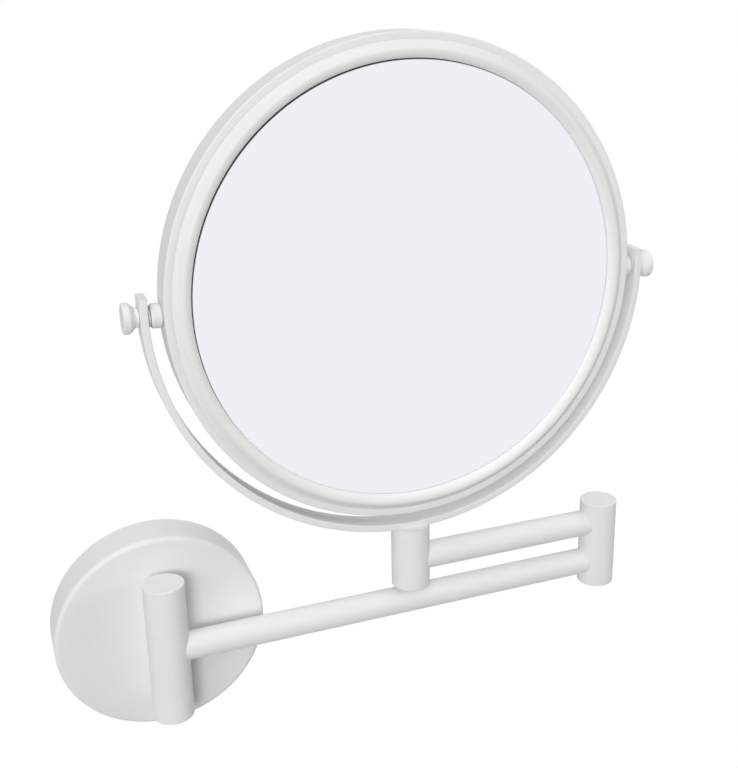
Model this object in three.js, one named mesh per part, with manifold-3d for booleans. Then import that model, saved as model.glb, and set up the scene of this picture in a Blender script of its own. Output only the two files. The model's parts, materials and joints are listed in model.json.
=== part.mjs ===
// Extendable shaving mirror for a bathroom wall: a round rosette carries a vertical post, two folding arms
// swing on it one above the other, and the second arm ends in a post with a U-shaped yoke in which a round
// two-sided mirror tips over. Millimetres, +X right, +Y into the wall, +Z up; the front is -Y.
// The origin is the centre of the wall plate's back face.

import * as THREE from 'three';
import { mergeVertices } from 'three/addons/utils/BufferGeometryUtils.js';
import Module from 'manifold-3d';

const wasm = await Module();
wasm.setup();

// ---------------------------------------------------------------- driving dimensions
const GAP = 0.3; // between faces that meet
const FIT = 0.2; // between a pin and its bore
const PAST = 1; // a cut runs this far past the face that it opens

const ROSETTE_DIAMETER = 88;
const ROSETTE_DEPTH = 19;
const ROSETTE_WALL = 1.5;
const ROSETTE_EDGE = 1.8;
const ROSETTE_PLAY = 0.4; // round the neck, where it leaves the cover
const PLATE_RADIUS = 41.5; // of the plate's round ends
const PLATE_HALF_WIDTH = 19; // to the flats on its two sides
const PLATE_THICKNESS = 5;
const WALL_HOLE_HEIGHT = 29; // above and below the centre
const WALL_HOLE_RADIUS = 2.6;
const SINK_DEPTH = 2.4; // of the countersinks in the plate
const NECK_WIDTH = 9;
const NECK_HEIGHT = 44;
const BRACKET_SCREW_HEIGHT = 14; // above and below the centre
const BRACKET_SCREW_LENGTH = 17;
const BRACKET_SCREW_RADIUS = 2.5;
const BRACKET_SCREW_HEAD = 4.6;
const GRUB_RADIUS = 1.6;
const GRUB_LENGTH = 5.4;
const GRUB_SINK = 0.3; // below the cover's rim
const SCREW_POINT = 0.6; // chamfer at a screw's end

const POST_RADIUS = 8.5;
const POST_CHAMFER = 0.4;
const POST_OFFSET = 33; // wall to the wall post's axis
const WALL_POST_HALF = 31;
const WALL_KNUCKLE_HALF = 10;
const PIN_RADIUS = 3;
const PIN_HEAD_RADIUS = 4.7;
const PIN_HEAD_LENGTH = 3;
const PIN_HEAD_CHAMFER = 0.5;
const BORE_CAP = 4; // solid end above a pin's bore
const PIN_END_PLAY = 0.5; // above the pin
const COUNTERBORE_RADIUS = 5.3;
const WASHER_RADIUS = 6.2;
const WASHER_THICKNESS = 0.4;
const SPRING_WASHER_THICKNESS = 0.6;
const PLUG_RADIUS = 5;
const PLUG_LENGTH = 3;
const PLUG_INSET = 0.2;
const WALL_COUNTERBORE = 8; // deep enough for the plug, the pin's head and its washer

const ARM_RADIUS = 6;
const ARM_WALL = 1.5;
const LOWER_ARM_REACH = 203.5; // wall post axis to elbow axis
const UPPER_ARM_REACH = 95.5; // elbow axis to centre post axis
const ARM_SPACING = 20; // lower arm axis to upper arm axis
const SLEEVE_OVERHANG = 11; // a post runs this far past an arm's axis
const CENTRE_POST_BOTTOM = 7.7; // just clear of the lower arm
const INSERT_LENGTH = 14;
const ARM_END = 4; // tubes and inserts start this near the post's axis, before they are coped
const STUD_RADIUS = 2.5;
const STUD_LENGTH = 16;
const STUD_START = 4.2; // clear of the pin
const STUD_TO_COUNTERBORE = 0.6;

const MIRROR_RADIUS = 100;
const MIRROR_HEIGHT = 145.5; // lower arm axis to mirror centre
const PIVOT_DROP = 2; // the pivots sit this far below the mirror's centre
const RIM_INNER_RADIUS = 96.2;
const RIM_HALF_DEPTH = 7.3;
const RIM_CHAMFER = 0.5;
const BEAD_RADIUS = 3;
const BEAD_CENTRE_RADIUS = 92.9;
const SKIRT_THICKNESS = 1.3;
const SKIRT_BACK = 3.8; // how close the bezel's skirt comes to the middle plane
const GLASS_RADIUS = 94.2;
const GLASS_FRONT = 6.6;
const GLASS_THICKNESS = 3;
const MAGNIFIER_CURVE = 750; // radius of the concave side
const CUSHION_INNER_RADIUS = 86.5;
const CUSHION_OUTER_RADIUS = 93.8;
const CUSHION_BACK = 2.2; // behind the middle plane

const YOKE_INNER_RADIUS = 105.5;
const YOKE_THICKNESS = 3;
const YOKE_WIDTH = 10.5;
const YOKE_END_RISE = 8; // above the pivots
const YOKE_RIVET_RADIUS = 2;
const YOKE_RIVET_HEAD = 4;
const YOKE_RIVET_HEAD_DEPTH = 2;
const YOKE_RIVET_LENGTH = 12;
const TILT_WASHER_THICKNESS = 0.6;
const SPACER_RADIUS = 4.8;
const SPACER_CHAMFER = 0.6;
const SPACER_CHAMFER_LENGTH = 1.1;
const KNOB_RADIUS = 6;
const KNOB_NECK_RADIUS = 3.9;
const KNOB_LENGTH = 5.8;
const KNOB_RIM = 2.8;
const KNOB_NECK = 1.4;
const KNOB_EDGE = 0.5;
const KNOB_BORE_DEPTH = 4.5; // measured from the yoke

const RING_SEGMENTS = 48;
const POST_SEGMENTS = 24;
const SMALL_SEGMENTS = 12;
const NECK_SEGMENTS = 8;
const YOKE_SEGMENTS = 25; // odd, so that one flat lies under the rivet

// sizes that follow from these
const COPE_RADIUS = POST_RADIUS + GAP;
const YOKE_OUTER_RADIUS = YOKE_INNER_RADIUS + YOKE_THICKNESS;
const YOKE_BOTTOM = MIRROR_HEIGHT - YOKE_OUTER_RADIUS;
const YOKE_FLOOR = MIRROR_HEIGHT - YOKE_INNER_RADIUS; // its inner face at the lowest point
const CENTRE_SEAM = ARM_SPACING + SLEEVE_OVERHANG;

// ---------------------------------------------------------------- materials
const whitePaint = new THREE.MeshStandardMaterial({ color: 0xeceae6, roughness: 0.5, metalness: 0.0 });
const steel = new THREE.MeshStandardMaterial({ color: 0xb9bcc0, roughness: 0.35, metalness: 1.0 });
const nylon = new THREE.MeshStandardMaterial({ color: 0xdedbd2, roughness: 0.6, metalness: 0.0 });
const foam = new THREE.MeshStandardMaterial({ color: 0x44464a, roughness: 0.95, metalness: 0.0 });
const silvered = new THREE.MeshStandardMaterial({ color: 0xe6ecf0, roughness: 0.03, metalness: 1.0 });

// ---------------------------------------------------------------- helpers
// Keeps positions only, joins shared corners, drops collapsed triangles and turns the faces outwards.
function closedSolid(source) {
  const bare = source.clone();
  bare.deleteAttribute('normal');
  bare.deleteAttribute('uv');
  const merged = mergeVertices(bare, 1e-4);
  const points = merged.getAttribute('position').array;
  const corners = [];
  let volume = 0;
  for (let i = 0; i < merged.index.count; i += 3) {
    const [a, b, c] = [merged.index.getX(i), merged.index.getX(i + 1), merged.index.getX(i + 2)];
    if (a === b || b === c || c === a) continue;
    corners.push([a, b, c]);
    const [p, q, r] = [a, b, c].map((n) => new THREE.Vector3().fromArray(points, n * 3));
    volume += p.dot(q.cross(r));
  }
  const outward = volume > 0 ? corners : corners.map(([a, b, c]) => [a, c, b]);
  return new wasm.Manifold(new wasm.Mesh({
    numProp: 3,
    vertProperties: new Float32Array(points),
    triVerts: new Uint32Array(outward.flat()),
  }));
}

function geometryOf(solid) {
  const mesh = solid.getMesh();
  const geometry = new THREE.BufferGeometry();
  geometry.setAttribute('position', new THREE.BufferAttribute(new Float32Array(mesh.vertProperties), 3));
  geometry.setIndex(new THREE.BufferAttribute(new Uint32Array(mesh.triVerts), 1));
  geometry.computeVertexNormals();
  return geometry;
}

// A solid of revolution from [radius, height] points; the height runs up, to the right, or to the front.
function turned(profile, segments, direction = 'up') {
  const geometry = new THREE.LatheGeometry(profile.map(([r, h]) => new THREE.Vector2(r, h)), segments);
  if (direction === 'up') geometry.rotateX(Math.PI / 2);
  if (direction === 'right') geometry.rotateZ(-Math.PI / 2);
  if (direction === 'front') geometry.rotateX(Math.PI);
  return closedSolid(geometry);
}

function rod(radius, start, end, segments = SMALL_SEGMENTS, direction = 'up') {
  return turned([[0, start], [radius, start], [radius, end], [0, end]], segments, direction);
}

function ring(inner, outer, start, end, segments = SMALL_SEGMENTS, direction = 'up') {
  const profile = [[inner, start], [outer, start], [outer, end], [inner, end], [inner, start]];
  return turned(profile, segments, direction);
}

// Points on an arc of a section, from one angle to the other in degrees.
function arc(centreRadius, centreHeight, radius, from, to, steps) {
  return Array.from({ length: steps + 1 }, (_, i) => {
    const angle = THREE.MathUtils.degToRad(from + (to - from) * i / steps);
    return [centreRadius + radius * Math.cos(angle), centreHeight + radius * Math.sin(angle)];
  });
}

// Shank from height 0, widening to a conical head whose flat top is at the full length.
function countersunkScrew(shank, head, headDepth, length, direction = 'up') {
  return turned([
    [0, 0], [shank - SCREW_POINT, 0], [shank, SCREW_POINT], [shank, length - headDepth],
    [head, length], [0, length],
  ], SMALL_SEGMENTS, direction);
}

function piece(group, name, solid, material) {
  const mesh = new THREE.Mesh(geometryOf(solid), material);
  mesh.name = name;
  group.add(mesh);
  return mesh;
}

function groupAt(parent, x, y, z) {
  const group = new THREE.Group();
  group.position.set(x, y, z);
  parent.add(group);
  return group;
}

// ---------------------------------------------------------------- wall plate, rosette and fork
// Disc with a flat on each side; the hollow of the rosette cover stays open beside the flats.
function wallPlate() {
  const outline = new THREE.Shape();
  const corner = Math.acos(PLATE_HALF_WIDTH / PLATE_RADIUS);
  outline.absarc(0, 0, PLATE_RADIUS, corner, Math.PI - corner, false);
  outline.absarc(0, 0, PLATE_RADIUS, Math.PI + corner, 2 * Math.PI - corner, false);
  outline.closePath();
  const grubHole = rod(GRUB_RADIUS + FIT, -PLATE_RADIUS - PAST, -PLATE_RADIUS + GRUB_LENGTH);
  let plate = pulledForward(outline, 0, PLATE_THICKNESS, SMALL_SEGMENTS)
    .subtract(grubHole.translate([0, -PLATE_THICKNESS / 2, 0]));
  for (const side of [-1, 1]) {
    plate = plate
      .subtract(wallScrewHole().translate([0, 0, side * WALL_HOLE_HEIGHT]))
      .subtract(bracketScrew(FIT).translate([0, 0.05, side * BRACKET_SCREW_HEIGHT]));
  }
  return plate;
}

function wallScrewHole() {
  return turned([
    [0, -PAST], [WALL_HOLE_RADIUS, -PAST], [WALL_HOLE_RADIUS, PLATE_THICKNESS - SINK_DEPTH],
    [WALL_HOLE_RADIUS * 2, PLATE_THICKNESS + FIT], [0, PLATE_THICKNESS + FIT],
  ], SMALL_SEGMENTS, 'front');
}

// Countersunk screw from the plate's back into the neck; grown by `extra` it cuts its own hole.
function bracketScrew(extra) {
  const shank = BRACKET_SCREW_RADIUS + extra;
  const head = BRACKET_SCREW_HEAD + extra;
  return countersunkScrew(shank, head, SINK_DEPTH, BRACKET_SCREW_LENGTH, 'front')
    .mirror([0, 1, 0])
    .translate([0, -BRACKET_SCREW_LENGTH, 0]);
}

function neckOutline(margin) {
  const half = NECK_WIDTH / 2 + margin;
  const straight = (NECK_HEIGHT - NECK_WIDTH) / 2;
  const shape = new THREE.Shape();
  shape.absarc(0, straight, half, 0, Math.PI, false);
  shape.absarc(0, -straight, half, Math.PI, 2 * Math.PI, false);
  shape.closePath();
  return shape;
}

// An outline in the XZ plane pulled towards the front, from depth `start` to depth `end`.
function pulledForward(shape, start, end, curveSegments) {
  const depth = end - start;
  const geometry = new THREE.ExtrudeGeometry(shape, { depth, bevelEnabled: false, curveSegments });
  geometry.rotateX(Math.PI / 2);
  geometry.translate(0, -start, 0);
  return closedSolid(geometry);
}

function rosetteCover() {
  const radius = ROSETTE_DIAMETER / 2;
  const inside = radius - ROSETTE_WALL;
  const ceiling = ROSETTE_DEPTH - ROSETTE_WALL;
  const cup = turned([
    [inside, 0], [radius, 0],
    ...arc(radius - ROSETTE_EDGE, ROSETTE_DEPTH - ROSETTE_EDGE, ROSETTE_EDGE, 0, 90, 3),
    [0, ROSETTE_DEPTH], [0, ceiling], [inside, ceiling], [inside, 0],
  ], RING_SEGMENTS, 'front');
  const neckHole = neckOutline(ROSETTE_PLAY);
  const opening = pulledForward(neckHole, ceiling - PAST, ROSETTE_DEPTH + PAST, NECK_SEGMENTS);
  const grubHole = rod(GRUB_RADIUS + FIT, -radius - PAST, -inside + PAST)
    .translate([0, -PLATE_THICKNESS / 2, 0]);
  return cup.subtract(opening).subtract(grubHole);
}

// Neck with the upper and lower knuckles of the wall post; the arm's knuckle turns between them.
function wallPostFork() {
  const edge = POST_RADIUS - POST_CHAMFER;
  const post = turned([
    [0, -WALL_POST_HALF], [edge, -WALL_POST_HALF], [POST_RADIUS, -WALL_POST_HALF + POST_CHAMFER],
    [POST_RADIUS, WALL_POST_HALF - POST_CHAMFER], [edge, WALL_POST_HALF], [0, WALL_POST_HALF],
  ], POST_SEGMENTS).translate([0, -POST_OFFSET, 0]);
  const neck = pulledForward(neckOutline(0), PLATE_THICKNESS + GAP, POST_OFFSET, NECK_SEGMENTS);
  const seam = WALL_KNUCKLE_HALF + GAP;
  const knuckleRoom = rod(POST_RADIUS + 0.5, -seam, seam, POST_SEGMENTS);
  const bore = rod(PIN_RADIUS + FIT, -WALL_POST_HALF, WALL_POST_HALF - BORE_CAP);
  const counterbore = rod(COUNTERBORE_RADIUS, -WALL_POST_HALF - PAST, -WALL_POST_HALF + WALL_COUNTERBORE);
  let fork = post.add(neck);
  for (const cut of [knuckleRoom, bore, counterbore]) {
    fork = fork.subtract(cut.translate([0, -POST_OFFSET, 0]));
  }
  for (const side of [-1, 1]) {
    fork = fork.subtract(bracketScrew(FIT).translate([0, 0, side * BRACKET_SCREW_HEIGHT]));
  }
  return fork;
}

// ---------------------------------------------------------------- swivel pieces
// A pin hangs in its bore by a head below the shoulder; z = 0 is the underside of the shoulder.
function swivelPin(length) {
  const headTop = -SPRING_WASHER_THICKNESS - 2 * GAP;
  return turned([
    [0, headTop - PIN_HEAD_LENGTH], [PIN_HEAD_RADIUS - PIN_HEAD_CHAMFER, headTop - PIN_HEAD_LENGTH],
    [PIN_HEAD_RADIUS, headTop - PIN_HEAD_LENGTH + PIN_HEAD_CHAMFER], [PIN_HEAD_RADIUS, headTop],
    [PIN_RADIUS, headTop], [PIN_RADIUS, length], [0, length],
  ], SMALL_SEGMENTS);
}

function springWasher() {
  return ring(PIN_RADIUS + FIT, PIN_HEAD_RADIUS, -GAP - SPRING_WASHER_THICKNESS, -GAP);
}

// Flat washer that lies in the recess below a seam at z = 0.
function seamWasher() {
  return ring(PIN_RADIUS + FIT, WASHER_RADIUS, -GAP - WASHER_THICKNESS, -GAP);
}

function washerRecess() {
  return rod(WASHER_RADIUS + GAP, -2 * GAP - WASHER_THICKNESS, PAST);
}

function bottomPlug(bottom) {
  return rod(PLUG_RADIUS, bottom + PLUG_INSET, bottom + PLUG_LENGTH);
}

// Round length of post from bottom to top, with a small chamfer on its free ends only.
function postLength(bottom, top, freeBottom, freeTop) {
  const low = freeBottom ? POST_CHAMFER : 0;
  const high = freeTop ? POST_CHAMFER : 0;
  return turned([
    [0, bottom], [POST_RADIUS - low, bottom], [POST_RADIUS, bottom + low],
    [POST_RADIUS, top - high], [POST_RADIUS - high, top], [0, top],
  ], POST_SEGMENTS);
}

function studHole(height) {
  return rod(STUD_RADIUS + FIT, 0, POST_RADIUS + PAST, SMALL_SEGMENTS, 'right').translate([0, 0, height]);
}

// ---------------------------------------------------------------- arms
function cope() {
  return rod(COPE_RADIUS, -ARM_RADIUS - PAST, ARM_RADIUS + PAST, POST_SEGMENTS);
}

// Tube along +X from one post axis to the next, its ends coped to the posts.
function armTube(reach) {
  return ring(ARM_RADIUS - ARM_WALL, ARM_RADIUS, ARM_END, reach - ARM_END, POST_SEGMENTS, 'right')
    .subtract(cope())
    .subtract(cope().translate([reach, 0, 0]));
}

function armInsert() {
  const end = POST_RADIUS + INSERT_LENGTH;
  const outer = ARM_RADIUS - ARM_WALL - FIT;
  return ring(STUD_RADIUS + FIT, outer, ARM_END, end, SMALL_SEGMENTS, 'right').subtract(cope());
}

function armStud() {
  return rod(STUD_RADIUS, STUD_START, STUD_START + STUD_LENGTH, SMALL_SEGMENTS, 'right');
}

// Tube with the threaded insert and stud at each of its two ends.
function addArm(group, name, reach, nearEnd, farEnd) {
  piece(group, `${name}_tube`, armTube(reach), whitePaint);
  for (const [end, x, turn] of [[nearEnd, 0, 0], [farEnd, reach, Math.PI]]) {
    for (const [what, solid] of [['insert', armInsert()], ['stud', armStud()]]) {
      const mesh = piece(group, `${name}_${end}_${what}`, solid, steel);
      mesh.position.x = x;
      mesh.rotation.z = turn;
    }
  }
}

// ---------------------------------------------------------------- mirror
function mirrorRim() {
  const inner = RIM_INNER_RADIUS;
  const chamfer = MIRROR_RADIUS - RIM_CHAMFER;
  const edge = RIM_HALF_DEPTH - RIM_CHAMFER;
  const rim = turned([
    [inner, -RIM_HALF_DEPTH], [chamfer, -RIM_HALF_DEPTH], [MIRROR_RADIUS, -edge], [MIRROR_RADIUS, edge],
    [chamfer, RIM_HALF_DEPTH], [inner, RIM_HALF_DEPTH], [inner, -RIM_HALF_DEPTH],
  ], RING_SEGMENTS, 'front');
  const end = MIRROR_RADIUS + PAST;
  const hole = rod(STUD_RADIUS + FIT, -end, end, SMALL_SEGMENTS, 'right');
  return rim.subtract(hole.translate([0, 0, -PIVOT_DROP]));
}

// Rounded bead that frames the glass, with the thin skirt that is pressed into the rim.
function bezel() {
  const outer = BEAD_CENTRE_RADIUS + BEAD_RADIUS;
  const skirt = outer - SKIRT_THICKNESS;
  const lip = GLASS_FRONT + GAP;
  return turned([
    [skirt, SKIRT_BACK], [outer, SKIRT_BACK],
    ...arc(BEAD_CENTRE_RADIUS, RIM_HALF_DEPTH, BEAD_RADIUS, 0, 180, 5),
    [BEAD_CENTRE_RADIUS - BEAD_RADIUS, lip], [skirt, lip], [skirt, SKIRT_BACK],
  ], RING_SEGMENTS, 'front');
}

function plainGlass() {
  return rod(GLASS_RADIUS, GLASS_FRONT - GLASS_THICKNESS, GLASS_FRONT, RING_SEGMENTS, 'front');
}

// Concave glass: both faces follow the same curve, hollow towards the side it shows.
function magnifyingGlass() {
  const steps = 3;
  const hollow = (r) => (GLASS_RADIUS ** 2 - r ** 2) / (2 * MAGNIFIER_CURVE);
  const radii = Array.from({ length: steps + 1 }, (_, i) => GLASS_RADIUS * i / steps);
  const back = radii.map((r) => [r, GLASS_FRONT - GLASS_THICKNESS - hollow(r)]);
  const face = radii.map((r) => [r, GLASS_FRONT - hollow(r)]).reverse();
  return turned([...back, ...face], RING_SEGMENTS, 'front').mirror([0, 1, 0]);
}

function cushionRing() {
  const front = GLASS_FRONT - GLASS_THICKNESS - GAP;
  return ring(CUSHION_INNER_RADIUS, CUSHION_OUTER_RADIUS, -CUSHION_BACK, front, RING_SEGMENTS, 'front');
}

// ---------------------------------------------------------------- yoke and pivots
// Half ring of flat bar about the mirror's centre, its ends rising a little past the pivots.
function yokeBand() {
  const rise = Math.asin((YOKE_END_RISE - PIVOT_DROP) / YOKE_OUTER_RADIUS);
  const shape = new THREE.Shape();
  shape.absarc(0, 0, YOKE_OUTER_RADIUS, Math.PI - rise, 2 * Math.PI + rise, false);
  shape.absarc(0, 0, YOKE_INNER_RADIUS, 2 * Math.PI + rise, Math.PI - rise, true);
  shape.closePath();
  const geometry = new THREE.ExtrudeGeometry(shape, {
    depth: YOKE_WIDTH, bevelEnabled: false, curveSegments: YOKE_SEGMENTS,
  });
  geometry.rotateX(Math.PI / 2);
  geometry.translate(0, YOKE_WIDTH / 2, 0);
  const end = YOKE_OUTER_RADIUS + PAST;
  const pivotHole = rod(STUD_RADIUS + FIT, -end, end, SMALL_SEGMENTS, 'right');
  return closedSolid(geometry)
    .subtract(pivotHole.translate([0, 0, -PIVOT_DROP]))
    .translate([0, 0, MIRROR_HEIGHT])
    .subtract(yokeRivetHole());
}

// Countersunk rivet from inside the yoke down into the spindle, flush and painted over.
function yokeRivet() {
  return countersunkScrew(YOKE_RIVET_RADIUS, YOKE_RIVET_HEAD, YOKE_RIVET_HEAD_DEPTH, YOKE_RIVET_LENGTH)
    .translate([0, 0, YOKE_FLOOR - YOKE_RIVET_LENGTH]);
}

function yokeRivetHole() {
  const shank = YOKE_RIVET_RADIUS + FIT;
  const head = YOKE_RIVET_HEAD + FIT;
  const bottom = YOKE_FLOOR - YOKE_RIVET_LENGTH;
  return turned([
    [0, bottom], [shank, bottom], [shank, YOKE_FLOOR - YOKE_RIVET_HEAD_DEPTH],
    [head, YOKE_FLOOR], [head, YOKE_FLOOR + PAST], [0, YOKE_FLOOR + PAST],
  ], SMALL_SEGMENTS);
}

// Short round seat that turns on the centre post; its top is hollowed to fit under the flat bar.
function yokeHub() {
  const half = POST_RADIUS + PAST;
  const bar = rod(YOKE_OUTER_RADIUS + GAP, -half, half, 2 * RING_SEGMENTS, 'front');
  return postLength(CENTRE_SEAM + GAP, YOKE_FLOOR, false, false)
    .subtract(bar.translate([0, 0, MIRROR_HEIGHT]))
    .subtract(rod(PIN_RADIUS + FIT, CENTRE_SEAM, YOKE_FLOOR));
}

function spacer() {
  const start = MIRROR_RADIUS + GAP;
  const end = YOKE_INNER_RADIUS - 2 * GAP - TILT_WASHER_THICKNESS;
  const bore = STUD_RADIUS + FIT;
  const shoulder = SPACER_RADIUS - SPACER_CHAMFER;
  return turned([
    [bore, start], [shoulder, start], [SPACER_RADIUS, start + SPACER_CHAMFER_LENGTH],
    [SPACER_RADIUS, end - SPACER_CHAMFER_LENGTH], [shoulder, end], [bore, end], [bore, start],
  ], POST_SEGMENTS, 'right');
}

function tiltWasher() {
  const end = YOKE_INNER_RADIUS - GAP;
  const outer = SPACER_RADIUS - SPACER_CHAMFER;
  return ring(STUD_RADIUS + FIT, outer, end - TILT_WASHER_THICKNESS, end, SMALL_SEGMENTS, 'right');
}

function pivotStud() {
  const end = YOKE_OUTER_RADIUS + KNOB_BORE_DEPTH - GAP;
  return rod(STUD_RADIUS, RIM_INNER_RADIUS + GAP, end, SMALL_SEGMENTS, 'right');
}

// Thumb knob: narrow neck on the yoke, flaring to a wide rim; bored blind from the inside.
function knob() {
  const start = YOKE_OUTER_RADIUS + GAP;
  const end = start + KNOB_LENGTH;
  const rimStart = end - KNOB_RIM;
  const body = turned([
    [0, start], [KNOB_NECK_RADIUS, start], [KNOB_NECK_RADIUS, start + KNOB_NECK],
    [KNOB_RADIUS - KNOB_EDGE, rimStart], [KNOB_RADIUS, rimStart + KNOB_EDGE],
    [KNOB_RADIUS, end - KNOB_EDGE], [KNOB_RADIUS - KNOB_EDGE, end], [0, end],
  ], POST_SEGMENTS, 'right');
  const boreEnd = YOKE_OUTER_RADIUS + KNOB_BORE_DEPTH;
  return body.subtract(rod(STUD_RADIUS + FIT, start - PAST, boreEnd, SMALL_SEGMENTS, 'right'));
}

// ---------------------------------------------------------------- assembly
const object = new THREE.Group();

// wall bracket
piece(object, 'wall_plate', wallPlate(), steel);
piece(object, 'rosette_cover', rosetteCover(), whitePaint);
const grubScrew = rod(GRUB_RADIUS, 0, GRUB_LENGTH)
  .translate([0, -PLATE_THICKNESS / 2, GRUB_SINK - ROSETTE_DIAMETER / 2]);
piece(object, 'rosette_grub_screw', grubScrew, steel);
piece(object, 'wall_post_fork', wallPostFork(), whitePaint);
for (const [place, side] of [['upper', 1], ['lower', -1]]) {
  piece(object, `bracket_screw_${place}`, bracketScrew(0), steel).position.z = side * BRACKET_SCREW_HEIGHT;
}
const wallPost = groupAt(object, 0, -POST_OFFSET, 0);
const wallShoulder = WALL_COUNTERBORE - WALL_POST_HALF;
const wallPinLength = WALL_POST_HALF - BORE_CAP - PIN_END_PLAY - wallShoulder;
piece(wallPost, 'wall_pin', swivelPin(wallPinLength), steel).position.z = wallShoulder;
piece(wallPost, 'wall_spring_washer', springWasher(), steel).position.z = wallShoulder;
piece(wallPost, 'wall_post_plug', bottomPlug(-WALL_POST_HALF), whitePaint);

// lower arm: its knuckle turns on the wall post
const lowerArm = groupAt(wallPost, 0, 0, 0);
const knuckleTop = WALL_KNUCKLE_HALF;
const knuckle = postLength(-knuckleTop, knuckleTop, false, false)
  .subtract(rod(PIN_RADIUS + FIT, -knuckleTop - PAST, knuckleTop + PAST))
  .subtract(washerRecess().translate([0, 0, knuckleTop]))
  .subtract(washerRecess().mirror([0, 0, 1]).translate([0, 0, -knuckleTop]))
  .subtract(studHole(0));
piece(lowerArm, 'wall_knuckle', knuckle, whitePaint);
piece(lowerArm, 'wall_washer_upper', seamWasher().translate([0, 0, knuckleTop]), nylon);
piece(lowerArm, 'wall_washer_lower', seamWasher().mirror([0, 0, 1]).translate([0, 0, -knuckleTop]), nylon);
addArm(lowerArm, 'lower_arm', LOWER_ARM_REACH, 'wall', 'elbow');

const elbow = groupAt(lowerArm, LOWER_ARM_REACH, 0, 0);
const elbowSeam = ARM_SPACING / 2 - GAP / 2;
const elbowShoulder = -STUD_RADIUS - STUD_TO_COUNTERBORE;
const elbowLower = postLength(-SLEEVE_OVERHANG, elbowSeam, true, false)
  .subtract(rod(PIN_RADIUS + FIT, -SLEEVE_OVERHANG - PAST, elbowSeam + PAST))
  .subtract(rod(COUNTERBORE_RADIUS, -SLEEVE_OVERHANG - PAST, elbowShoulder))
  .subtract(washerRecess().translate([0, 0, elbowSeam]))
  .subtract(studHole(0));
piece(elbow, 'elbow_lower_sleeve', elbowLower, whitePaint).rotation.z = Math.PI;
piece(elbow, 'elbow_washer', seamWasher().translate([0, 0, elbowSeam]), nylon);
piece(elbow, 'elbow_spring_washer', springWasher().translate([0, 0, elbowShoulder]), steel);
piece(elbow, 'elbow_plug', bottomPlug(-SLEEVE_OVERHANG), whitePaint);

// upper arm: folded back over the lower arm, so its own frame is turned half round
const upperArm = groupAt(elbow, 0, 0, ARM_SPACING);
upperArm.rotation.z = Math.PI;
const sleeveBottom = elbowSeam + GAP - ARM_SPACING;
const elbowUpper = postLength(sleeveBottom, SLEEVE_OVERHANG, false, true)
  .subtract(rod(PIN_RADIUS + FIT, sleeveBottom - PAST, SLEEVE_OVERHANG - BORE_CAP))
  .subtract(studHole(0));
piece(upperArm, 'elbow_upper_sleeve', elbowUpper, whitePaint);
const elbowPinLength = ARM_SPACING + SLEEVE_OVERHANG - BORE_CAP - PIN_END_PLAY - elbowShoulder;
piece(upperArm, 'elbow_pin', swivelPin(elbowPinLength), steel).position.z = elbowShoulder - ARM_SPACING;
addArm(upperArm, 'upper_arm', UPPER_ARM_REACH, 'elbow', 'centre');

const centreKnuckle = groupAt(upperArm, UPPER_ARM_REACH, 0, 0);
centreKnuckle.rotation.z = Math.PI;
const centreBottom = CENTRE_POST_BOTTOM - ARM_SPACING;
const centreShoulder = -STUD_RADIUS - STUD_TO_COUNTERBORE;
const centrePost = postLength(centreBottom, SLEEVE_OVERHANG, true, false)
  .subtract(rod(PIN_RADIUS + FIT, centreBottom - PAST, SLEEVE_OVERHANG + PAST))
  .subtract(rod(COUNTERBORE_RADIUS, centreBottom - PAST, centreShoulder))
  .subtract(washerRecess().translate([0, 0, SLEEVE_OVERHANG]))
  .subtract(studHole(0));
piece(centreKnuckle, 'centre_knuckle', centrePost, whitePaint);
piece(centreKnuckle, 'centre_washer', seamWasher().translate([0, 0, SLEEVE_OVERHANG]), nylon);
piece(centreKnuckle, 'centre_plug', bottomPlug(centreBottom), whitePaint);

// yoke: swivels on the centre post; heights here are above the lower arm's axis
const yoke = groupAt(centreKnuckle, 0, 0, -ARM_SPACING);
const spindleShoulder = ARM_SPACING + centreShoulder;
const spindleTop = YOKE_BOTTOM - 2 * GAP;
const spindle = swivelPin(spindleTop - spindleShoulder)
  .translate([0, 0, spindleShoulder])
  .subtract(rod(YOKE_RIVET_RADIUS + FIT, YOKE_FLOOR - YOKE_RIVET_LENGTH - PAST, YOKE_FLOOR));
piece(yoke, 'yoke_spindle', spindle, steel);
piece(yoke, 'yoke_spring_washer', springWasher().translate([0, 0, spindleShoulder]), steel);
piece(yoke, 'yoke_hub', yokeHub(), whitePaint);
piece(yoke, 'yoke_band', yokeBand(), whitePaint);
piece(yoke, 'yoke_rivet', yokeRivet(), whitePaint);

// mirror: tips over about the pivots
const mirror = groupAt(yoke, 0, 0, MIRROR_HEIGHT);
piece(mirror, 'mirror_rim', mirrorRim(), whitePaint);
piece(mirror, 'front_bezel', bezel(), whitePaint);
piece(mirror, 'back_bezel', bezel().mirror([0, 1, 0]), whitePaint);
piece(mirror, 'plain_glass', plainGlass(), silvered);
piece(mirror, 'magnifying_glass', magnifyingGlass(), silvered);
piece(mirror, 'glass_cushion_ring', cushionRing(), foam);

const pivots = groupAt(mirror, 0, 0, -PIVOT_DROP);
for (const [side, turn] of [['left', Math.PI], ['right', 0]]) {
  const pieces = [
    ['pivot_stud', pivotStud(), steel], ['pivot_spacer', spacer(), whitePaint],
    ['tilt_washer', tiltWasher(), nylon], ['knob', knob(), whitePaint],
  ];
  for (const [what, solid, material] of pieces) {
    piece(pivots, `${side}_${what}`, solid, material).rotation.z = turn;
  }
}

export default object;
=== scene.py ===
"""Extendable shaving mirror: the looks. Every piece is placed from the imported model's own boxes."""

import json
import math

import bmesh
import bpy
from mathutils import Matrix, Vector


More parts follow.
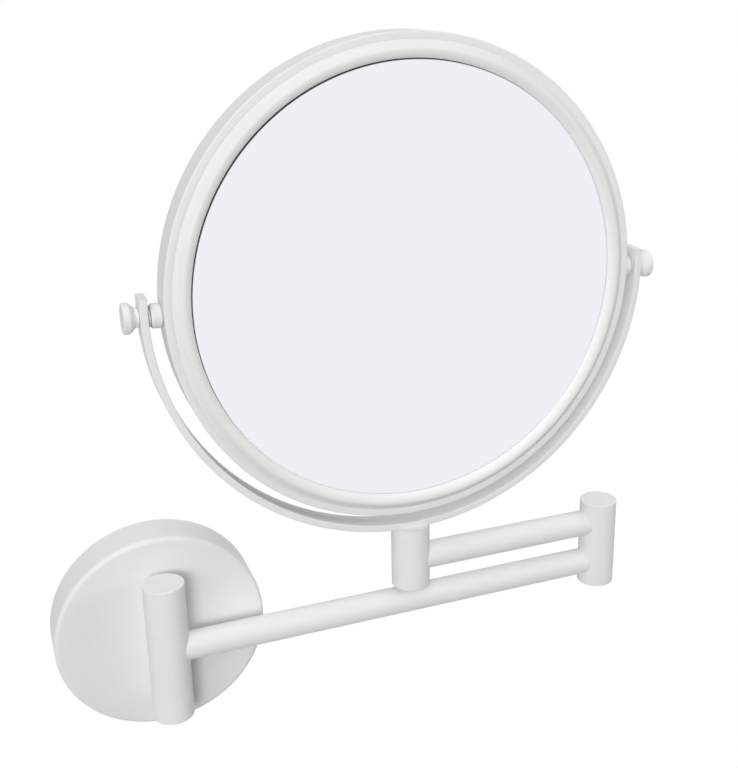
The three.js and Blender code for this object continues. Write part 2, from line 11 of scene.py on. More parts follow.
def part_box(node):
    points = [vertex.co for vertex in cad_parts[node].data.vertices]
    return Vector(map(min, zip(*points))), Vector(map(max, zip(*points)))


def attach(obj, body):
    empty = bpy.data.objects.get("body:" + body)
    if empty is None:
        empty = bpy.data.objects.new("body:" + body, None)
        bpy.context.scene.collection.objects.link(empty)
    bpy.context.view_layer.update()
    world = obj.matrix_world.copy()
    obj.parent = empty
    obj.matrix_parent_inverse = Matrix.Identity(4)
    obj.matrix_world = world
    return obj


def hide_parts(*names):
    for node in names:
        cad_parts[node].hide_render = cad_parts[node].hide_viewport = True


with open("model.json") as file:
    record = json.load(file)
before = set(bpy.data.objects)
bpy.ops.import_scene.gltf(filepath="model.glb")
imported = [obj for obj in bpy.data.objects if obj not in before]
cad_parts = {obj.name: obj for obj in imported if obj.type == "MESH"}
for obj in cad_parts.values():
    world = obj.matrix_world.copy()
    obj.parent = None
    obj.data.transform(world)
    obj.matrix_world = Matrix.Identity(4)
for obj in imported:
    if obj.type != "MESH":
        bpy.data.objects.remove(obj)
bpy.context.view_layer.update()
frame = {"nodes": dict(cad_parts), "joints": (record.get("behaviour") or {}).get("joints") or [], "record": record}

MM = 0.001
ROUND = 160  # sides of a post or tube
WIDE = 384  # sides of the mirror's rings and the rosette
SMALL = 96  # sides of a screw, plug or rivet
KNOB_SIDES = 128
CUTTER_SIDES = 61  # odd counts, so that a cutter's edges hardly ever line up with a post's
BORE_SIDES = 97
CREASE = math.radians(32)  # edges sharper than this stay sharp
SEAM = 0.02 * MM  # half the width of a hairline seam between two turning sleeves


# ---------------------------------------------------------------- places, from the frame
def centre(node):
    low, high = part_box(node)
    return (low + high) / 2


def upright_radius(node):
    """Half the width of a piece that is round about a vertical axis."""
    low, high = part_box(node)
    return (high.x - low.x) / 2


def joint(name):
    return next(j for j in frame["joints"] if j["name"] == name)


WALL_AXIS = Vector(joint("wall_swing")["pos_m"])
ELBOW_AXIS = Vector(joint("elbow_swing")["pos_m"])
CENTRE_AXIS = Vector(joint("yoke_swivel")["pos_m"])
PIVOT = Vector(joint("mirror_tilt")["pos_m"])
MIRROR = centre("mirror_rim")
POST_RADIUS = upright_radius("wall_knuckle")
RIM_LOW, RIM_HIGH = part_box("mirror_rim")
RIM_RADIUS = (RIM_HIGH.z - RIM_LOW.z) / 2
RIM_HALF = (RIM_HIGH.y - RIM_LOW.y) / 2
YOKE_LOW, YOKE_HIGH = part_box("yoke_band")
BEAD_INNER = 89.9  # radius of the glass that shows, in millimetres


# ---------------------------------------------------------------- materials
def new_material(name):
    material = bpy.data.materials.new(name)
    material.use_nodes = True
    nodes = material.node_tree.nodes
    return material, nodes, material.node_tree.links, nodes["Principled BSDF"]


def noise(nodes, links, scale, detail, roughness=0.5):
    """Noise in metres of the object's own space."""
    texture = nodes.new("ShaderNodeTexNoise")
    texture.inputs["Scale"].default_value = scale
    texture.inputs["Detail"].default_value = detail
    texture.inputs["Roughness"].default_value = roughness
    links.new(nodes.new("ShaderNodeTexCoord").outputs["Object"], texture.inputs["Vector"])
    return texture.outputs["Fac"]


def ramp(nodes, links, factor, low, high, start=0.0, end=1.0):
    """Goes from low to high while the factor goes from start to end."""
    node = nodes.new("ShaderNodeMapRange")
    node.inputs["From Min"].default_value = start
    node.inputs["From Max"].default_value = end
    node.inputs["To Min"].default_value = low
    node.inputs["To Max"].default_value = high
    links.new(factor, node.inputs["Value"])
    return node.outputs["Result"]


def colour_mix(nodes, links, factor, first, second):
    node = nodes.new("ShaderNodeMix")
    node.data_type = "RGBA"
    node.inputs["A"].default_value = (*first, 1)
    node.inputs["B"].default_value = (*second, 1)
    links.new(factor, node.inputs["Factor"])
    return node.outputs["Result"]


def bump(nodes, links, height, distance, normal=None):
    node = nodes.new("ShaderNodeBump")
    node.inputs["Distance"].default_value = distance
    node.inputs["Strength"].default_value = 1.0
    links.new(height, node.inputs["Height"])
    if normal is not None:
        links.new(normal, node.inputs["Normal"])
    return node.outputs["Normal"]


PAINT_DEEP = (0.800, 0.797, 0.785)
PAINT_BRIGHT = (0.822, 0.820, 0.812)
ZINC_DEEP = (0.52, 0.53, 0.55)
ZINC_BRIGHT = (0.66, 0.67, 0.69)
NYLON_DEEP = (0.70, 0.68, 0.62)
NYLON_BRIGHT = (0.77, 0.75, 0.69)
FOAM_DEEP = (0.02, 0.02, 0.022)
FOAM_BRIGHT = (0.07, 0.07, 0.075)
# painted shade: near-black colour for the glass's edge, standing in for the shade at the foot of the bead
PAINTED_SHADE_COLOUR = (0.03, 0.03, 0.03)
MIRROR_TINT = (0.864, 0.872, 0.908)
PAINTED_SHADE_OFFSET = 0.75 * MM  # how far the painted shade round the glass's edge is off centre, which makes it widest at the upper left


def powder_coat():
    """Matte white powder coat: a fine pebbled skin over a slow waviness, very slightly warm."""
    material, nodes, links, shader = new_material("white_powder_coat")
    cloud = noise(nodes, links, 45, 3)
    tone = ramp(nodes, links, cloud, 0, 1, 0.3, 0.7)
    links.new(colour_mix(nodes, links, tone, PAINT_DEEP, PAINT_BRIGHT), shader.inputs["Base Color"])
    grain = noise(nodes, links, 2600, 2, 0.6)
    links.new(ramp(nodes, links, grain, 0.46, 0.60, 0.3, 0.7), shader.inputs["Roughness"])
    skin = bump(nodes, links, grain, 0.004 * MM)
    waves = noise(nodes, links, 420, 2)
    links.new(bump(nodes, links, waves, 0.022 * MM, normal=skin), shader.inputs["Normal"])
    shader.inputs["Specular IOR Level"].default_value = 0.3
    return material


def mirror_silver(name, painted_shade_shift=0.0):
    """Silvered glass with a clear, faintly blue reflection. It may carry a painted shade: a dark ring at its edge,
    widest at the upper left.
    """
    material, nodes, links, shader = new_material(name)
    shader.inputs["Metallic"].default_value = 1.0
    haze = noise(nodes, links, 30, 3)
    deeper = tuple(0.985 * c for c in MIRROR_TINT)
    colour = colour_mix(nodes, links, haze, MIRROR_TINT, deeper)
    # painted shade: a near-black ring just inside the bead, off centre towards the upper left, in place of the
    # bead's shadow
    if painted_shade_shift:
        flat = nodes.new("ShaderNodeVectorMath")
        flat.operation = "MULTIPLY"
        links.new(nodes.new("ShaderNodeTexCoord").outputs["Object"], flat.inputs[0])
        flat.inputs[1].default_value = (1, 0, 1)
        away = nodes.new("ShaderNodeVectorMath")
        away.operation = "DISTANCE"
        links.new(flat.outputs["Vector"], away.inputs[0])
        away.inputs[1].default_value = (MIRROR.x + painted_shade_shift, 0, MIRROR.z - painted_shade_shift)
        seen = BEAD_INNER * MM
        edge = ramp(nodes, links, away.outputs["Value"], 0, 1, seen - 0.05 * MM, seen + 0.35 * MM)
        painted_shade_ring = nodes.new("ShaderNodeMix")
        painted_shade_ring.data_type = "RGBA"
        links.new(edge, painted_shade_ring.inputs["Factor"])
        links.new(colour, painted_shade_ring.inputs["A"])
        painted_shade_ring.inputs["B"].default_value = (*PAINTED_SHADE_COLOUR, 1)
        colour = painted_shade_ring.outputs["Result"]
    links.new(colour, shader.inputs["Base Color"])
    polish = noise(nodes, links, 900, 3)
    links.new(ramp(nodes, links, polish, 0.012, 0.03, 0.35, 0.75), shader.inputs["Roughness"])
    return material


def zinc_steel():
    """Zinc-plated steel with a fine grain and a cloudy lustre."""
    material, nodes, links, shader = new_material("zinc_plated_steel")
    shader.inputs["Metallic"].default_value = 1.0
    cloud = noise(nodes, links, 160, 4, 0.6)
    tone = ramp(nodes, links, cloud, 0, 1, 0.3, 0.7)
    links.new(colour_mix(nodes, links, tone, ZINC_DEEP, ZINC_BRIGHT), shader.inputs["Base Color"])
    grain = noise(nodes, links, 4200, 3, 0.6)
    links.new(ramp(nodes, links, grain, 0.28, 0.45, 0.3, 0.7), shader.inputs["Roughness"])
    links.new(bump(nodes, links, grain, 0.006 * MM), shader.inputs["Normal"])
    return material


def natural_nylon():
    """Milky washer plastic with a soft moulded grain."""
    material, nodes, links, shader = new_material("natural_nylon")
    grain = noise(nodes, links, 1500, 3)
    links.new(colour_mix(nodes, links, grain, NYLON_DEEP, NYLON_BRIGHT), shader.inputs["Base Color"])
    links.new(ramp(nodes, links, grain, 0.4, 0.55), shader.inputs["Roughness"])
    links.new(bump(nodes, links, grain, 0.01 * MM), shader.inputs["Normal"])
    return material


def foam_rubber():
    """Dark cellular rubber."""
    material, nodes, links, shader = new_material("foam_rubber")
    cells = noise(nodes, links, 1900, 4, 0.65)
    links.new(colour_mix(nodes, links, cells, FOAM_DEEP, FOAM_BRIGHT), shader.inputs["Base Color"])
    links.new(ramp(nodes, links, cells, 0.75, 0.95), shader.inputs["Roughness"])
    links.new(bump(nodes, links, cells, 0.15 * MM), shader.inputs["Normal"])
    return material


WHITE = powder_coat()
STEEL = zinc_steel()
NYLON = natural_nylon()
FOAM = foam_rubber()
SILVER = mirror_silver("mirror_silver")
# the plain glass carries the painted shade round its edge
SILVER_WITH_PAINTED_SHADE = mirror_silver("mirror_silver_painted_shade", PAINTED_SHADE_OFFSET)
FINISH = {"white_paint": WHITE, "steel": STEEL, "nylon": NYLON, "foam": FOAM, "mirror_glass": SILVER}


# ---------------------------------------------------------------- mesh tools
def mark_creases(bm):
    """Marks the edges that must stay sharp under smooth shading."""
    for edge in bm.edges:
        edge.smooth = len(edge.link_faces) != 2 or edge.calc_face_angle(0) < CREASE


def finish_mesh(bm, name, material):
    """Cleans the mesh, marks creases sharp and makes the object."""
    bmesh.ops.remove_doubles(bm, verts=bm.verts, dist=1e-7)
    bmesh.ops.recalc_face_normals(bm, faces=bm.faces)
    for face in bm.faces:
        face.smooth = True
    mark_creases(bm)
    mesh = bpy.data.meshes.new(name)
    bm.to_mesh(mesh)
    bm.free()
    piece = bpy.data.objects.new(name, mesh)
    bpy.context.scene.collection.objects.link(piece)
    mesh.materials.append(material)
    return piece


AXES = {
    "up": (Vector((1, 0, 0)), Vector((0, 1, 0)), Vector((0, 0, 1))),
    "down": (Vector((1, 0, 0)), Vector((0, -1, 0)), Vector((0, 0, -1))),
    "right": (Vector((0, 1, 0)), Vector((0, 0, 1)), Vector((1, 0, 0))),
    "left": (Vector((0, -1, 0)), Vector((0, 0, 1)), Vector((-1, 0, 0))),
    "front": (Vector((1, 0, 0)), Vector((0, 0, 1)), Vector((0, -1, 0))),
    "back": (Vector((-1, 0, 0)), Vector((0, 0, 1)), Vector((0, 1, 0))),
}


def turned(bm, profile, origin, direction, sides):
    """Adds a solid of revolution from (radius, height) points in millimetres.

    A profile that ends where it starts makes a ring."""
    across, along, axis = AXES[direction]
    rows = []
    for r, h in profile:
        start = origin + axis * (h * MM)
        if r < 1e-6:
            rows.append([bm.verts.new(start)])
            continue
        row = []
        for i in range(sides):
            turn = 2 * math.pi * i / sides
            outward = across * math.cos(turn) + along * math.sin(turn)
            row.append(bm.verts.new(start + outward * (r * MM)))
        rows.append(row)
    for first, second in zip(rows, rows[1:]):
        for i in range(sides):
            k = (i + 1) % sides
            if len(first) == 1 and len(second) > 1:
                bm.faces.new((first[0], second[i], second[k]))
            elif len(second) == 1 and len(first) > 1:
                bm.faces.new((first[i], first[k], second[0]))
            elif len(first) > 1:
                bm.faces.new((first[i], first[k], second[k], second[i]))


LONG_RUN = 3.0  # a straight run of a profile that needs the extra points, in millimetres
NEAR_EDGE = 0.2


def steadied(profile):
    """Adds a point near each end of a long straight run, which keeps a rounded edge's shading at that edge."""
    points = [profile[0]]
    for (r0, h0), (r1, h1) in zip(profile, profile[1:]):
        run = math.hypot(r1 - r0, h1 - h0)
        if run > LONG_RUN:
            for share in (NEAR_EDGE / run, 1 - NEAR_EDGE / run):
                points.append((r0 + (r1 - r0) * share, h0 + (h1 - h0) * share))
        points.append((r1, h1))
    return points


def turned_piece(name, profile, origin, direction, material, sides=ROUND):
    bm = bmesh.new()
    turned(bm, steadied(profile), origin, direction, sides)
    return finish_mesh(bm, name, material)


def fillet(r, h, radius, start, end, steps):
    """Points on an arc about (r, h), from one angle to the other in degrees."""
    turns = [math.radians(start + (end - start) * i / steps) for i in range(steps + 1)]
    return [(r + radius * math.cos(turn), h + radius * math.sin(turn)) for turn in turns]


def cut(piece, *cutters, operation="DIFFERENCE"):
    """Takes the other pieces' volumes out of the piece, or joins them to it."""
    bpy.context.view_layer.update()
    for cutter in cutters:
        modifier = piece.modifiers.new("cut", "BOOLEAN")
        modifier.operation = operation
        modifier.solver = "EXACT"
        modifier.object = cutter
    graph = bpy.context.evaluated_depsgraph_get()
    mesh = bpy.data.meshes.new_from_object(piece.evaluated_get(graph))
    piece.modifiers.clear()
    old = piece.data
    piece.data = mesh
    bpy.data.meshes.remove(old)
    for cutter in cutters:
        bpy.data.objects.remove(cutter)
    bm = bmesh.new()
    bm.from_mesh(piece.data)
    mark_creases(bm)
    bm.to_mesh(piece.data)
    bm.free()
    return piece


def stand_in(piece, body, *nodes, slot="white_paint"):
    """The piece rides on the body and stands for the CAD nodes, which it hides. The slot is not used."""
    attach(piece, body)
    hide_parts(*nodes)
    return piece


# ---------------------------------------------------------------- posts and sleeves
EDGE_ROUND = 0.35  # softened edge on the ends of the posts
CENTRE_FOOT_ROUND = 0.6  # the centre post's foot is rounder
CRISP = 0  # the sharp edge at a hairline seam
HALF_PLAY = 0.15 * MM  # a seam lies in the middle of the CAD's gap between two turning sleeves
STUD_HOLE_RADIUS = 2.7  # also the holes for the mirror's pivot studs
PIN_HOLE_RADIUS = 3.2
PIN_HEAD_HOLE_RADIUS = 5.3
PIN_HEAD_HEIGHT = 3.0
SPRING_WASHER_HEIGHT = 1.5
PIN_END_PLAY = 0.4
BORE_REACH = 60  # how far below the lower arm's level a bore's cutter starts
PAST_TOP = 100 * MM  # a height above every post, for a bore that runs right through
PLUG_RADIUS = 5.15
PLUG_ROUND = 0.4


def at(axis):
    """The point of a vertical axis that is level with the lower arm."""
    return Vector((axis.x, axis.y, 0))


def post_end(radius, level, edge, side):
    """Profile of a post's end, rounded or sharp. The side is -1 for the foot and 1 for the head."""
    if not edge:
        return [(radius, level)]
    start, end = (0, 90) if side > 0 else (-90, 0)
    return fillet(radius - edge, level - side * edge, edge, start, end, 5)


def sleeve(name, axis, bottom, top, low_edge, high_edge):
    """A length of post about a vertical axis, from one height to the other, in metres."""
    radius, low, high = POST_RADIUS / MM, bottom / MM, top / MM
    foot = post_end(radius, low, low_edge, -1)
    head = post_end(radius, high, high_edge, 1)
    return turned_piece(name, [(0, low), *foot, *head, (0, high)], at(axis), "up", WHITE)


def cylinder(radius, start, end):
    """Profile of a plain cylinder."""
    return [(0, start), (radius, start), (radius, end), (0, end)]


def rod(radius, start, end, origin, direction):
    """Plain round cutter."""
    return turned_piece("rod", cylinder(radius, start, end), origin, direction, WHITE, CUTTER_SIDES)


def bore_cutter(pin, axis, top):
    """The stepped hole of a swivel post: wide from below for the pin's head and the plug, narrow above."""
    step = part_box(pin)[0].z / MM + PIN_HEAD_HEIGHT + SPRING_WASHER_HEIGHT
    profile = [
        (0, -BORE_REACH), (PIN_HEAD_HOLE_RADIUS, -BORE_REACH), (PIN_HEAD_HOLE_RADIUS, step),
        (PIN_HOLE_RADIUS, step), (PIN_HOLE_RADIUS, top / MM), (0, top / MM),
    ]
    return turned_piece("bore", profile, at(axis), "up", WHITE, BORE_SIDES)


def stud_cutter(axis, height, forward):
    """The hole for an arm's stud, from the post's axis towards the arm."""
    return rod(STUD_HOLE_RADIUS, 0, 10, Vector((axis.x, axis.y, height)), forward)


def plug(name, node, axis, body):
    """Rounded plug that closes a post from below."""
    low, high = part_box(node)
    bottom, top = low.z / MM, high.z / MM
    foot = fillet(PLUG_RADIUS - PLUG_ROUND, bottom + PLUG_ROUND, PLUG_ROUND, -90, 0, 4)
    profile = [(0, bottom), *foot, (PLUG_RADIUS, top), (0, top)]
    stand_in(turned_piece(name, profile, at(axis), "up", WHITE, SMALL), body, node)


# ---------------------------------------------------------------- wall bracket
def hex_socket(origin, direction, across, depth):
    """Cutter for a hexagon drive whose mouth is at the origin."""
    radius = across / 2 / math.cos(math.pi / 6)
    return turned_piece("socket", cylinder(radius, -depth, 1), origin, direction, STEEL, 6)


def arc_points(radius, lift, start, end, steps=47):
    """(x, z) points on an arc about (0, lift), from one angle to the other in radians."""
    turns = [start + (end - start) * i / steps for i in range(steps + 1)]
    return [(radius * math.cos(turn), lift + radius * math.sin(turn)) for turn in turns]


def slab(name, outline, front, back, material, soft=0.0):
    """Upright plate with the outline seen from the front, between two depths, its rims softened."""
    bm = bmesh.new()
    near = [bm.verts.new((x, front, z)) for x, z in outline]
    far = [bm.verts.new((x, back, z)) for x, z in outline]
    count = len(outline)
    for i in range(count):
        k = (i + 1) % count
        bm.faces.new((near[i], near[k], far[k], far[i]))
    caps = [bm.faces.new(near), bm.faces.new(far)]
    if soft:
        rims = [edge for cap in caps for edge in cap.edges]
        bmesh.ops.bevel(bm, geom=rims, offset=soft, segments=3, affect="EDGES", profile=0.5)
    return finish_mesh(bm, name, material)


def neck_bar(half_width, half_height, front, back):
    """Upright bar with round ends."""
    lift = half_height - half_width
    upper = arc_points(half_width, lift, 0, math.pi)
    lower = arc_points(half_width, -lift, math.pi, 2 * math.pi)
    return slab("neck", upper + lower, front, back, WHITE)


NECK_HALF_WIDTH = 4.5 * MM
NECK_HALF_HEIGHT = 22 * MM
NECK_PLAY = 0.15 * MM
PLATE_LOW, PLATE_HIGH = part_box("wall_plate")
PLATE_THICK = (PLATE_HIGH.y - PLATE_LOW.y) / MM
WALL_HOLE_HEIGHT = 29 * MM
COVER_LOW, COVER_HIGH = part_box("rosette_cover")
GRUB_LOW, GRUB_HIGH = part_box("rosette_grub_screw")
GRUB = centre("rosette_grub_screw")
GRUB_RADIUS = 1.6
GRUB_HOLE_RADIUS = 1.8
GRUB_DRIVE = 1.5  # hexagon, across its flats
GRUB_DRIVE_DEPTH = 1.6
GRUB_SIDES = 64
SCREW_RADIUS = 2.5
SCREW_HEAD_RADIUS = 4.6
SCREW_HEAD_DEPTH = 2.4
SCREW_DRIVE = 3.0


def make_rosette():
    """Shallow cup with a rounded front edge, a slot for the neck and a hole below for the grub screw."""
    outer = (COVER_HIGH.x - COVER_LOW.x) / 2 / MM
    depth = (COVER_HIGH.y - COVER_LOW.y) / MM
    wall = 1.5
    soft = 1.9  # rounding of the front edge
    wall_edge = 0.25
    corner = 1  # rounding inside, between the wall and the floor
    inside = outer - wall
    floor = depth - wall
    profile = [
        (inside, 0), *fillet(outer - wall_edge, wall_edge, wall_edge, -90, 0, 4),
        *fillet(outer - soft, depth - soft, soft, 0, 90, 14),
        (0, depth), (0, floor), *fillet(inside - corner, floor - corner, corner, 90, 0, 4), (inside, 0),
    ]
    cover = turned_piece("rosette", profile, Vector((0, COVER_HIGH.y, 0)), "front", WHITE, WIDE)
    front, back = COVER_LOW.y - 2 * MM, COVER_LOW.y + 4 * MM
    slot = neck_bar(NECK_HALF_WIDTH + NECK_PLAY, NECK_HALF_HEIGHT + NECK_PLAY, front, back)
    hole = rod(GRUB_HOLE_RADIUS, -2, 4, Vector((GRUB.x, GRUB.y, COVER_LOW.z)), "up")
    stand_in(cut(cover, slot, hole), "wall_bracket", "rosette_cover")


def make_plate():
    """Disc with a flat on each side, two holes for the wall screws and two for the screws into the neck."""
    outer = (PLATE_HIGH.z - PLATE_LOW.z) / 2
    corner = math.acos((PLATE_HIGH.x - PLATE_LOW.x) / 2 / outer)
    upper = arc_points(outer, 0, corner, math.pi - corner)
    lower = arc_points(outer, 0, math.pi + corner, 2 * math.pi - corner)
    plate = slab("back_plate", upper + lower, PLATE_LOW.y, PLATE_HIGH.y, STEEL, 0.4 * MM)
    narrow, wide, past_face = 2.6, 5.3, PLATE_THICK + 0.2  # for 5 mm countersunk wall screws
    hole = [(0, -1), (narrow, -1), (narrow, PLATE_THICK - 2.5), (wide, past_face), (0, past_face)]
    shank, mouth = SCREW_RADIUS + 0.2, SCREW_HEAD_RADIUS + 0.25
    seat = [(0, -6), (shank, -6), (shank, -2.3), (mouth, 0), (mouth, 1), (0, 1)]
    cutters = []
    for side, which in ((1, "upper"), (-1, "lower")):
        place = Vector((0, PLATE_HIGH.y, side * WALL_HOLE_HEIGHT))
        cutters.append(turned_piece("wall_hole", hole, place, "front", STEEL, SMALL))
        screw = centre(f"bracket_screw_{which}")
        place = Vector((screw.x, PLATE_HIGH.y, screw.z))
        cutters.append(turned_piece("seat", seat, place, "back", STEEL, SMALL))
    cutters.append(rod(GRUB_HOLE_RADIUS, -1, 6, Vector((GRUB.x, GRUB.y, PLATE_LOW.z)), "up"))
    stand_in(cut(plate, *cutters), "wall_bracket", "wall_plate", slot="steel")


def make_bracket_screws():
    """Countersunk screws into the neck, their heads flush with the back of the plate."""
    for which in ("upper", "lower"):
        low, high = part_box(f"bracket_screw_{which}")
        length = (high.y - low.y) / MM
        tip = SCREW_RADIUS - 0.5
        profile = [
            (0, -length), (tip, -length), (SCREW_RADIUS, 0.5 - length),
            (SCREW_RADIUS, -SCREW_HEAD_DEPTH), (SCREW_HEAD_RADIUS, -0.15), (SCREW_HEAD_RADIUS, 0), (0, 0),
        ]
        place = centre(f"bracket_screw_{which}")
        head = Vector((place.x, high.y, place.z))
        screw = turned_piece(f"countersunk_screw_{which}", profile, head, "back", STEEL, SMALL)
        cut(screw, hex_socket(head, "back", SCREW_DRIVE, SCREW_HEAD_DEPTH * 0.75))
        stand_in(screw, "wall_bracket", f"bracket_screw_{which}", slot="steel")


def make_grub():
    """Headless screw that holds the rosette, driven from below."""
    length = (GRUB_HIGH.z - GRUB_LOW.z) / MM
    foot = Vector((GRUB.x, GRUB.y, GRUB_LOW.z))
    profile = [
        (0, 0), (GRUB_RADIUS - 0.25, 0), (GRUB_RADIUS, 0.25),
        (GRUB_RADIUS, length - 0.5), (GRUB_RADIUS - 0.5, length), (0, length),
    ]
    grub = turned_piece("grub_screw", profile, foot, "up", STEEL, GRUB_SIDES)
    cut(grub, hex_socket(foot, "down", GRUB_DRIVE, GRUB_DRIVE_DEPTH))
    stand_in(grub, "wall_bracket", "rosette_grub_screw", slot="steel")


def make_wall_post():
    """The neck with the upper and the lower part of the wall post, bored through from below."""
    low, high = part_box("wall_post_fork")
    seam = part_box("wall_knuckle")[1].z + HALF_PLAY
    overlap = 1.5 * MM  # past the seam, taken off again by the room for the arm's sleeve
    post = neck_bar(NECK_HALF_WIDTH, NECK_HALF_HEIGHT, WALL_AXIS.y, high.y)
    upper = sleeve("upper", WALL_AXIS, seam - overlap, high.z, CRISP, EDGE_ROUND)
    lower = sleeve("lower", WALL_AXIS, low.z, overlap - seam, EDGE_ROUND, CRISP)
    cut(post, upper, lower, operation="UNION")
    reach = (seam + SEAM) / MM
    cut(post, rod(POST_RADIUS / MM + 0.4, -reach, reach, at(WALL_AXIS), "up"))
    cut(post, bore_cutter("wall_pin", WALL_AXIS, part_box("wall_pin")[1].z + PIN_END_PLAY * MM))
    post.name = "wall_post"
    stand_in(post, "wall_bracket", "wall_post_fork")
    plug("wall_post_end_plug", "wall_post_plug", WALL_AXIS, "wall_bracket")


# ---------------------------------------------------------------- arms
ARM_WALL = 1.5 * MM
ARM_STATIONS = 24  # stretches between the cross-sections of an arm
ARM_SINK = 0.05 * MM  # how far an arm's shaped end reaches into its post


def arm_tube(name, start, end, radius):
    """Hollow tube between two posts, its ends shaped to the posts' round sides."""
    bm = bmesh.new()
    forward = (end - start).normalized()
    side = Vector((-forward.y, forward.x, 0))
    length = (end - start).length
    seat = POST_RADIUS - ARM_SINK

    def section(r, share):
        row = []
        for i in range(ROUND):
            turn = 2 * math.pi * i / ROUND
            across, lift = r * math.cos(turn), r * math.sin(turn)
            reach = math.sqrt(seat**2 - across**2)
            along = reach + (length - 2 * reach) * share
            place = start + forward * along + side * across + Vector((0, 0, lift))
            row.append(bm.verts.new(place))
        return row

    shares = [k / ARM_STATIONS for k in range(ARM_STATIONS + 1)]
    rows = [section(radius, share) for share in shares]
    rows += [section(radius - ARM_WALL, share) for share in reversed(shares)]
    for first, second in zip(rows, rows[1:] + rows[:1]):
        for i in range(ROUND):
            n = (i + 1) % ROUND
            bm.faces.new((first[i], first[n], second[n], second[i]))
    return finish_mesh(bm, name, WHITE)


def make_lower_arm():
    """The sleeve on the wall post, the long tube and the lower sleeve of the elbow."""
    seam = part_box("wall_knuckle")[1].z + HALF_PLAY
    knuckle = sleeve("wall_sleeve", WALL_AXIS, -seam + SEAM, seam - SEAM, CRISP, CRISP)
    cut(knuckle, rod(PIN_HOLE_RADIUS, -20, 20, at(WALL_AXIS), "up"), stud_cutter(WALL_AXIS, 0, "right"))
    stand_in(knuckle, "lower_arm", "wall_knuckle")

    low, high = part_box("lower_arm_tube")
    radius = (high.z - low.z) / 2
    tube = arm_tube("lower_arm", at(WALL_AXIS), at(ELBOW_AXIS), radius)
    stand_in(tube, "lower_arm", "lower_arm_tube")

    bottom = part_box("elbow_lower_sleeve")[0].z
    lower = sleeve("elbow_sleeve_lower", ELBOW_AXIS, bottom, ELBOW_AXIS.z - SEAM, EDGE_ROUND, CRISP)
    cut(lower, bore_cutter("elbow_pin", ELBOW_AXIS, PAST_TOP), stud_cutter(ELBOW_AXIS, 0, "left"))
    stand_in(lower, "lower_arm", "elbow_lower_sleeve")
    plug("elbow_end_plug", "elbow_plug", ELBOW_AXIS, "lower_arm")


def make_upper_arm():
    """The upper sleeve of the elbow, the short tube and the post under the mirror."""
    low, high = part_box("upper_arm_tube")
    height = (low.z + high.z) / 2
    radius = (high.z - low.z) / 2
    lift = Vector((0, 0, height))
    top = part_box("elbow_upper_sleeve")[1].z
    upper = sleeve("elbow_sleeve_upper", ELBOW_AXIS, ELBOW_AXIS.z + SEAM, top, CRISP, EDGE_ROUND)
    pin_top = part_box("elbow_pin")[1].z / MM + PIN_END_PLAY
    bore = rod(PIN_HOLE_RADIUS, 0, pin_top, at(ELBOW_AXIS), "up")
    cut(upper, bore, stud_cutter(ELBOW_AXIS, height, "left"))
    stand_in(upper, "upper_arm", "elbow_upper_sleeve")

    tube = arm_tube("upper_arm", at(ELBOW_AXIS) + lift, at(CENTRE_AXIS) + lift, radius)
    stand_in(tube, "upper_arm", "upper_arm_tube")

    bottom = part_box("centre_knuckle")[0].z
    top = CENTRE_AXIS.z + HALF_PLAY - SEAM
    post = sleeve("centre_post", CENTRE_AXIS, bottom, top, CENTRE_FOOT_ROUND, CRISP)
    bore = bore_cutter("yoke_spindle", CENTRE_AXIS, PAST_TOP)
    cut(post, bore, stud_cutter(CENTRE_AXIS, height, "right"))
    stand_in(post, "upper_arm", "centre_knuckle")
    plug("centre_end_plug", "centre_plug", CENTRE_AXIS, "upper_arm")


# ---------------------------------------------------------------- yoke
YOKE_OUTER = (YOKE_HIGH.x - YOKE_LOW.x) / 2
YOKE_THICK = 3 * MM
YOKE_HALF_WIDTH = (YOKE_HIGH.y - YOKE_LOW.y) / 2
YOKE_EDGE = 0.35 * MM  # softened edges of the flat bar
YOKE_STEPS = 240
YOKE_SEAT_PLAY = 0.02 * MM  # between the strip and the seat hollowed to its curve
YOKE_SEAT_RISE = 0.6 * MM  # how far the seat's sides reach above the strip's lowest point
RIVET_HEAD_RADIUS = 4
RIVET_HEAD_DEPTH = 2
RIVET_RADIUS = 2


def rounded_rectangle(half_wide, half_thick, edge):
    """Corner-rounded section, as (across, outward) pairs."""
    points = []
    for corner, (sx, sy) in enumerate(((1, 1), (-1, 1), (-1, -1), (1, -1))):
        for i in range(5):
            turn = math.pi / 2 * (corner + i / 4)
            points.append((
                sx * (half_wide - edge) + edge * math.cos(turn),
                sy * (half_thick - edge) + edge * math.sin(turn),
            ))
    return points


def yoke_strip(name):
    """Flat bar bent to a half ring, its ends carried up past the pivots."""
    bm = bmesh.new()
    middle = YOKE_OUTER - YOKE_THICK / 2
    section = rounded_rectangle(YOKE_HALF_WIDTH, YOKE_THICK / 2, YOKE_EDGE)
    rise = math.asin((YOKE_HIGH.z - MIRROR.z) / YOKE_OUTER)
    rows = []
    for k in range(YOKE_STEPS + 1):
        turn = math.pi - rise + (math.pi + 2 * rise) * k / YOKE_STEPS
        outward = Vector((math.cos(turn), 0, math.sin(turn)))
        row = []
        for across, out in section:
            place = Vector((MIRROR.x, MIRROR.y + across, MIRROR.z)) + outward * (middle + out)
            row.append(bm.verts.new(place))
        rows.append(row)
    count = len(section)
    for first, second in zip(rows, rows[1:]):
        for i in range(count):
            n = (i + 1) % count
            bm.faces.new((first[i], first[n], second[n], second[i]))
    bm.faces.new(rows[0])
    bm.faces.new(rows[-1])
    return finish_mesh(bm, name, WHITE)


def yoke_disc(radius):
    """Cutter with the curve of one face of the yoke."""
    return turned_piece("disc", cylinder(radius / MM, -20, 20), MIRROR, "front", WHITE, 2 * WIDE)


def pivot_holes(offset):
    """Cutters for the two pivot studs, at a distance from the mirror's middle."""
    return [
        rod(STUD_HOLE_RADIUS, -8, 8, Vector((MIRROR.x + side * offset, PIVOT.y, PIVOT.z)), "right")
        for side in (-1, 1)
    ]


